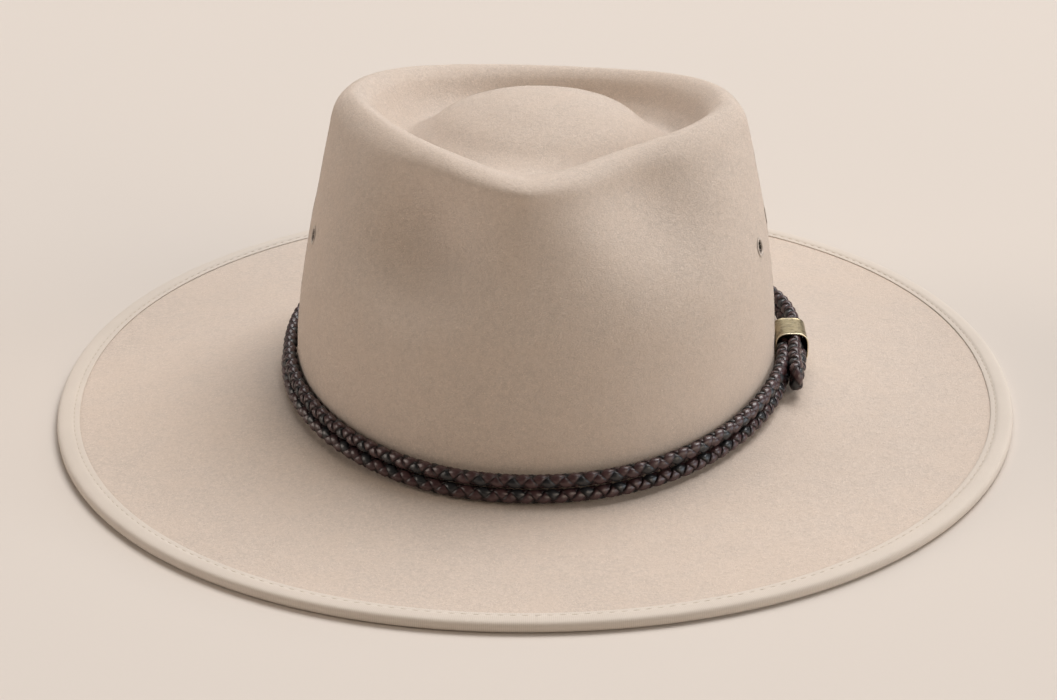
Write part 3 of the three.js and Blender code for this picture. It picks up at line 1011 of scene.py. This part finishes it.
class HAT_OT_binding_stitches(bpy.types.Operator):
    """Sews the ribbon down with one row of stitches above the brim and one below"""

    bl_idname = "hat.binding_stitches"
    bl_label = "Binding Stitches"

    def execute(self, context):
        middles = binding_angles()[0][::RIBBON_STEPS_PER_STITCH]
        on_top, below, ribbon_top, width = ribbon_rings(middles, np.zeros(len(middles)))[1:]
        thread = sizes().thread / MM
        upper = on_top(width - STITCH_INSET, ribbon_top(width - STITCH_INSET) - STITCH_SUNK)
        lower = below(width - STITCH_INSET, thread * 0.3)
        up = felt_normals(np.array([RIBBON_LIP / 2]), middles)[0]
        run = unit(np.roll(upper, -1, axis=0) - np.roll(upper, 1, axis=0))
        down = np.tile([0.0, 0.0, -1.0], (len(middles), 1))
        guide = point_cloud("binding_stitches", np.concatenate([upper, lower]),
                            run=np.concatenate([run, run]), away=np.concatenate([up, down]))
        material = kept_material("sewing_thread", sewing_thread, colours().thread)
        stitches = grow(guide, stitch_tree(), {
            "Stitch Length": sizes().stitch_length, "Thread": sizes().thread,
            "Slack": STITCH_SLACK, "Seed": STITCH_SEED, "Material": material,
        })
        set_piece(stitches)
        return {"FINISHED"}


# Band

def band_point(degrees, upper):
    """The middle of the cord at an angle that may run past a full turn."""
    back = degrees % 360
    behind = degrees < -180
    leaving = smooth((LEAVE_ANGLE - back) / (LEAVE_ANGLE - ENTER_ANGLE)) if behind else 0
    near_keeper = window(back, *NEAR_KEEPER)
    out = LOWER_TURN["out"]
    if upper:
        out = UPPER_TURN_OUT + (out - UPPER_TURN_OUT) * near_keeper
    out = out + TURN_SPACING * leaving
    row = FELT_ROWS[FOOT].copy()
    row[[Z_FRONT, Z_SIDE, Z_BACK]] = LOWER_TURN["front"], LOWER_TURN["side"], LOWER_TURN["back"]
    angle = np.array([math.radians(degrees)])
    point = row_points(row[None], angle, out)[0, 0] + [0, 0, TURN_SPACING if upper else 0]
    mouth = float(window(back, *MOUTH))
    if mouth == 0:
        return point
    half = TURN_SPACING / 2
    middle = row_points(row[None], angle, LOWER_TURN["out"] + half)[0, 0] + [0, 0, half]
    beside = half if behind else -half
    above = half if upper else -half
    turned = MOUTH_TURN * mouth
    away = (middle - [row[SHIFT], 0, middle[2]]) * [1, 0, 0]
    away = away / np.linalg.norm(away)
    out_now = beside * math.cos(turned) - above * math.sin(turned)
    up_now = beside * math.sin(turned) + above * math.cos(turned)
    press = 1 - MOUTH_PRESS * mouth
    pressed = middle + away * out_now * press + np.array([0, 0, up_now * press])
    return point + (pressed - point) * float(smooth(mouth * 2))


def band_route():
    """Points of the whole cord with the direction out of the crown at each: the upper turn,
    the fold in front of the keeper, the lower turn. Also where the fold starts and how many
    points it has."""
    angles = np.arange(CUT_ANGLE, FOLD_ANGLE - 360 - 0.01, -0.5)
    over = np.array([band_point(degrees, True) for degrees in angles])
    under = np.array([band_point(degrees, False) for degrees in angles])
    forward = over[-1] - over[-2]
    forward = forward * [1, 1, 0] / np.linalg.norm(forward[:2])
    middle = (over[-1] + under[-1]) / 2
    bends = np.linspace(0, math.pi, 26)[1:-1]
    fold = np.array([
        middle + forward * (FOLD_REACH + FOLD_SPREAD * math.sin(bend))
        + np.array([0, 0, FOLD_SPREAD * math.cos(bend)]) for bend in bends
    ])
    raw = np.concatenate([over, fold, under[::-1]])
    ahead = np.gradient(over, axis=0)
    out = unit(np.stack([-ahead[:, 1], ahead[:, 0], np.zeros(len(over))], axis=-1))
    raw_out = np.concatenate([out, np.tile(out[-1], (len(fold), 1)), out[::-1]])
    return raw, raw_out, len(over), len(fold)


def braid_guide():
    """Even steps along the band's route: points, the direction out of the crown, how far
    the braid is turned there, and the distance from the start."""
    raw, raw_out, fold_start, fold_count = band_route()
    gaps = np.linalg.norm(np.diff(raw, axis=0), axis=1)
    run = np.concatenate([[0], np.cumsum(gaps)])
    step = sizes().lay / MM / BRAID_STEPS
    count = int(run[-1] // step)
    along = np.linspace(0, run[-1], count + 1)
    points = np.stack([np.interp(along, run, raw[:, k]) for k in range(3)], axis=-1)
    out = np.stack([np.interp(along, run, raw_out[:, k]) for k in range(3)], axis=-1)
    kernel = np.array([1, 2, 3, 2, 1]) / 9
    padded = np.concatenate([points[:1]] * 2 + [points] + [points[-1:]] * 2)
    points = np.stack([np.convolve(padded[:, k], kernel, "valid") for k in range(3)], axis=-1)
    ahead = unit(np.gradient(points, axis=0))
    out = unit(out - ahead * np.sum(out * ahead, axis=1, keepdims=True))
    bend_at = run[fold_start], run[fold_start + fold_count]
    turned = smooth((along - bend_at[0] + FOLD_EASE)
                    / (bend_at[1] - bend_at[0] + 2 * FOLD_EASE))
    roll = np.radians(BRAID_ROLL[0] + BRAID_ROLL[1] * turned)
    return points, out, roll, along


def braid_tree():
    """Round braid of four strands on a guide. Two run round it one way and two the other,
    each passing over the others on its own two sides of the cord."""
    graph, source, sockets = new_tree("four_strand_braid", {
        "Lay": "Float", "Radius": "Float", "Swing": "Float", "Strand Width": "Float",
        "Strand Thickness": "Float", "Strand": "Material", "Dark Strand": "Material",
    })

    def lace():
        """Flat section of a strand, which keeps how far across it each point lies."""
        ring = graph.add("GeometryNodeCurvePrimitiveCircle", {"mode": "RADIUS"},
                         {"Resolution": 10, "Radius": 1.0})
        place = graph.add("GeometryNodeInputPosition")
        parts = graph.add("ShaderNodeSeparateXYZ", None, {0: place})
        kept = graph.keeping(ring, "across", parts["Y"])
        size = graph.add("ShaderNodeCombineXYZ", None, {
            "X": source["Strand Thickness"] / 2, "Y": source["Strand Width"] / 2,
            "Z": 1.0,
        })
        return graph.add("GeometryNodeTransform", None, {"Geometry": kept, "Scale": size})

    section = lace()
    rail = graph.add("GeometryNodeMeshToCurve", None, {"Mesh": source})
    out = graph.named("outward", "FLOAT_VECTOR")
    roll = graph.named("roll")
    turns = graph.named("along") / source["Lay"] * (2 * math.pi)
    tangent = graph.add("GeometryNodeInputTangent")
    side = graph.vector("CROSS_PRODUCT", tangent, out)
    strands = []
    for way in (1, -1):
        swing = (turns * 2).math("COSINE") * source["Swing"] * way
        radius = swing + source["Radius"]
        for start in (0.0, math.pi):
            angle = turns * way + roll + start
            radial = graph.vector(
                "ADD", graph.scaled(out, angle.math("COSINE")),
                graph.scaled(side, angle.math("SINE")),
            )
            faced = graph.add("GeometryNodeSetCurveNormal", {"mode": "FREE"},
                              {"Curve": rail, "Normal": radial})
            moved = graph.add("GeometryNodeSetPosition", None,
                              {"Geometry": faced, "Offset": graph.scaled(radial, radius)})
            strand = graph.add("GeometryNodeCurveToMesh", None, {
                "Curve": moved, "Profile Curve": section, "Fill Caps": True,
            })
            finish = "Dark Strand" if way == 1 and start == 0.0 else "Strand"
            strands.append(graph.painted(strand, source[finish]))
    return close_tree(graph, sockets, strands)


class HAT_OT_braided_band(bpy.types.Operator):
    """Braids the cord of four leather strands along both turns of the band and its fold"""

    bl_idname = "hat.braided_band"
    bl_label = "Braided Band"

    def execute(self, context):
        points, out, roll, along = braid_guide()
        chain = [(k, k + 1) for k in range(len(points) - 1)]
        guide = point_cloud("braided_band", points, chain,
                            outward=out, roll=roll, along=along * MM)
        paint = colours()
        brown = kept_material("brown_leather", leather, paint.strand, paint.strand_worn)
        dark = kept_material("dark_leather", leather, paint.dark_strand, paint.dark_worn)
        band = grow(guide, braid_tree(), {
            "Lay": sizes().lay, "Radius": sizes().braid_radius, "Swing": sizes().braid_swing,
            "Strand Width": sizes().strand_width, "Strand Thickness": sizes().strand_wall,
            "Strand": brown, "Dark Strand": dark,
        })
        set_piece(band)
        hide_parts("braided_cord")
        return {"FINISHED"}


# Keeper and eyelets

class HAT_OT_keeper(bpy.types.Operator):
    """Rolls the brass sleeve that holds the four runs of the cord together"""

    bl_idname = "hat.keeper"
    bl_label = "Keeper"

    def execute(self, context):
        low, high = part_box("keeper")
        middle = np.array((low + high) / 2) / MM
        outside = (high.x - low.x) / 2 / MM
        wall = sizes().keeper_wall / MM
        half = sizes().keeper_length / MM / 2
        rim = wall / 2
        flat = half - RIM_START
        groove = outside - GROOVE_INSET
        profile = [(outside - SLEEVE_INSET, y) for y in np.linspace(-flat, flat, 9)]
        profile += [(groove, half - RIM_GROOVE), (outside, half - RIM_FULL)]
        for bend in np.linspace(0, math.pi, 8):
            profile.append((outside - rim + rim * math.cos(bend),
                            half - rim + rim * math.sin(bend)))
        profile += [(outside - wall, y) for y in np.linspace(flat, -flat, 5)]
        for bend in np.linspace(0, math.pi, 8):
            profile.append((outside - rim - rim * math.cos(bend),
                            -half + rim - rim * math.sin(bend)))
        profile += [(outside, -half + RIM_FULL), (groove, -half + RIM_GROOVE)]
        sides = 96
        turns = circle(sides)
        rings = []
        for radius, y in profile:
            x = radius * signed_power(np.cos(turns), 2 / KEEPER_SQUARE)
            z = radius * signed_power(np.sin(turns), 2 / KEEPER_SQUARE)
            rings.append(np.stack([x, np.full(sides, y), z], axis=-1) + middle)
        paint = colours()
        material = kept_material("antique_brass", antique_brass,
                                 paint.brass, paint.brass_bright, paint.brass_dark)
        keeper = new_form("keeper_sleeve", rings, grid_faces(len(rings), sides, True), material)
        near = [max(0, 1 - (half - abs(y)) / WEAR_REACH) for _, y in profile]
        # Points on the sleeve's inner wall, which the material paints in shade
        inner_wall = [float(radius < outside - rim) for radius, _ in profile]
        keep(keeper, rim=np.repeat(near, sides), inside=np.repeat(inner_wall, sides))
        set_piece(keeper)
        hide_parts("keeper")
        return {"FINISHED"}


class HAT_OT_eyelets(bpy.types.Operator):
    """Sets a rolled eyelet in each of the four vents"""

    bl_idname = "hat.eyelets"
    bl_label = "Vent Eyelets"

    def execute(self, context):
        bore, flange = sizes().eyelet_bore / MM, sizes().eyelet_flange / MM
        wall = sizes().felt_wall / MM
        section = (flange - bore) / 2
        centre = bore + section
        profile = []
        for bend in np.linspace(-10, 190, 12):
            turn = math.radians(bend)
            profile.append((centre + section * math.cos(turn),
                            EYELET_RISE * max(0.0, math.sin(turn)) ** EYELET_ROUND))
        profile += [(bore, y) for y in np.linspace(0, -wall, 4)]
        for bend in np.linspace(190, 350, 10):
            turn = math.radians(bend)
            profile.append((centre + section * math.cos(turn),
                            -wall + EYELET_RISE * min(0.0, math.sin(turn))))
        barrel = bore + BARREL_WALL
        profile += [(flange, -wall), (barrel, -wall), (barrel, 0), (flange, 0)]
        sides = 48
        turns = circle(sides)
        rings = np.array([
            np.stack([r * np.cos(turns), r * np.sin(turns), np.full(sides, along)], axis=-1)
            for r, along in profile
        ])
        faces = [face[::-1] for face in grid_faces(len(rings), sides, True)]
        material = kept_material("sand_lacquer", sand_lacquer,
                                 colours().eyelet, colours().eyelet_bore)
        # The bore deeper than DARK_BELOW takes the painted shade
        in_bore = [float(r < bore + 0.15 and along < DARK_BELOW) for r, along in profile]
        for node, (degrees, z) in EYELETS.items():
            points = on_side(rings.reshape(-1, 3), degrees, z)
            name = node.replace("eyelet", "rolled_eyelet")
            eyelet = new_form(name, points, faces, material)
            keep(eyelet, bore=np.repeat(in_bore, sides))
            set_piece(eyelet)
            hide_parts(node)
        return {"FINISHED"}


# Stage

def aim(thing, back, roll=0.0):
    """Turns a light or camera so that it looks against back, with its own roll."""
    back = Vector(back).normalized()
    right = Vector((0, 0, 1)).cross(back).normalized()
    up = back.cross(right)
    turned_right = right * math.cos(roll) + up * math.sin(roll)
    turned_up = up * math.cos(roll) - right * math.sin(roll)
    matrix = Matrix((turned_right, turned_up, back)).transposed()
    thing.rotation_euler = matrix.to_euler()


def add_light(name, place, power, tone):
    lamp = bpy.data.lights.new(name, "AREA")
    lamp.size = LIGHT_SIZE
    lamp.energy = power
    lamp.color = tone
    light = new_object(name, lamp)
    light.location = place
    aim(light, place)


class HAT_OT_stage(bpy.types.Operator):
    """Lays the pale floor, hangs the soft lights and sets the photograph's camera"""

    bl_idname = "hat.stage"
    bl_label = "Stage"

    def execute(self, context):
        scene = context.scene
        settings = scene.hat_stage
        corners = [[x * FLOOR_REACH, y * FLOOR_REACH, -FLOOR_DROP]
                   for x, y in ((-1, -1), (1, -1), (1, 1), (-1, 1))]
        material = kept_material("paper_sweep", paper_sweep, colours().floor)
        floor = new_form("paper_floor", corners, [[0, 1, 2, 3]], material)

        for name, (round_about, up, power, tone) in LIGHTS.items():
            turned, raised = math.radians(round_about), math.radians(up)
            place = Vector((math.sin(turned) * math.cos(raised),
                            -math.cos(turned) * math.cos(raised), math.sin(raised)))
            add_light(name, place * LIGHT_DISTANCE, power * settings.light, tone)

        world = scene.world or bpy.data.worlds.new("studio")
        scene.world = world
        world.use_nodes = True
        world.node_tree.nodes.clear()
        graph = Graph(world.node_tree)
        glow = graph.add("ShaderNodeBackground", None, {
            "Color": tint(colours().floor, 1.2), "Strength": settings.ambient,
        })
        graph.add("ShaderNodeOutputWorld", None, {"Surface": glow})
        scene.view_settings.view_transform = "Standard"

        lens = bpy.data.cameras.new("camera")
        lens.lens = CAMERA_LENS
        lens.clip_start, lens.clip_end = 0.05, 50
        camera = new_object("camera", lens)
        back = Vector((0, -math.cos(CAMERA_ELEVATION), math.sin(CAMERA_ELEVATION)))
        camera.location = CAMERA_TARGET + back * CAMERA_DISTANCE
        aim(camera, back, CAMERA_ROLL)
        scene.camera = camera
        return {"FINISHED"}


STEPS = (
    HAT_OT_stage, HAT_OT_felt_body, HAT_OT_felt_fibres, HAT_OT_brim_binding,
    HAT_OT_binding_stitches, HAT_OT_braided_band, HAT_OT_keeper, HAT_OT_eyelets,
)


class HAT_PT_panel(bpy.types.Panel):
    """Lists the pieces of the hat with their sizes and colours"""

    bl_idname = "HAT_PT_panel"
    bl_label = "Drover Hat"
    bl_space_type = "VIEW_3D"
    bl_region_type = "UI"
    bl_category = "Hat"

    def draw(self, context):
        for step in STEPS:
            self.layout.operator(step.bl_idname)
        for name, kind in GROUPS.items():
            box = self.layout.box()
            for key in kind.__annotations__:
                box.prop(getattr(context.scene, name), key)


GROUPS = {
    "hat_sizes": HatSizes, "hat_nap": HatNap, "hat_colours": HatColours, "hat_stage": HatStage,
}
CLASSES = (*GROUPS.values(), *STEPS, HAT_PT_panel)


def register():
    for each in CLASSES:
        bpy.utils.register_class(each)
    for name, kind in GROUPS.items():
        setattr(bpy.types.Scene, name, bpy.props.PointerProperty(type=kind))


def unregister():
    for name in GROUPS:
        delattr(bpy.types.Scene, name)
    for each in reversed(CLASSES):
        bpy.utils.unregister_class(each)


def main():
    register()
    for step in STEPS:
        group, name = step.bl_idname.split(".")
        getattr(getattr(bpy.ops, group), name)()


if __name__ == "__main__":
    main()
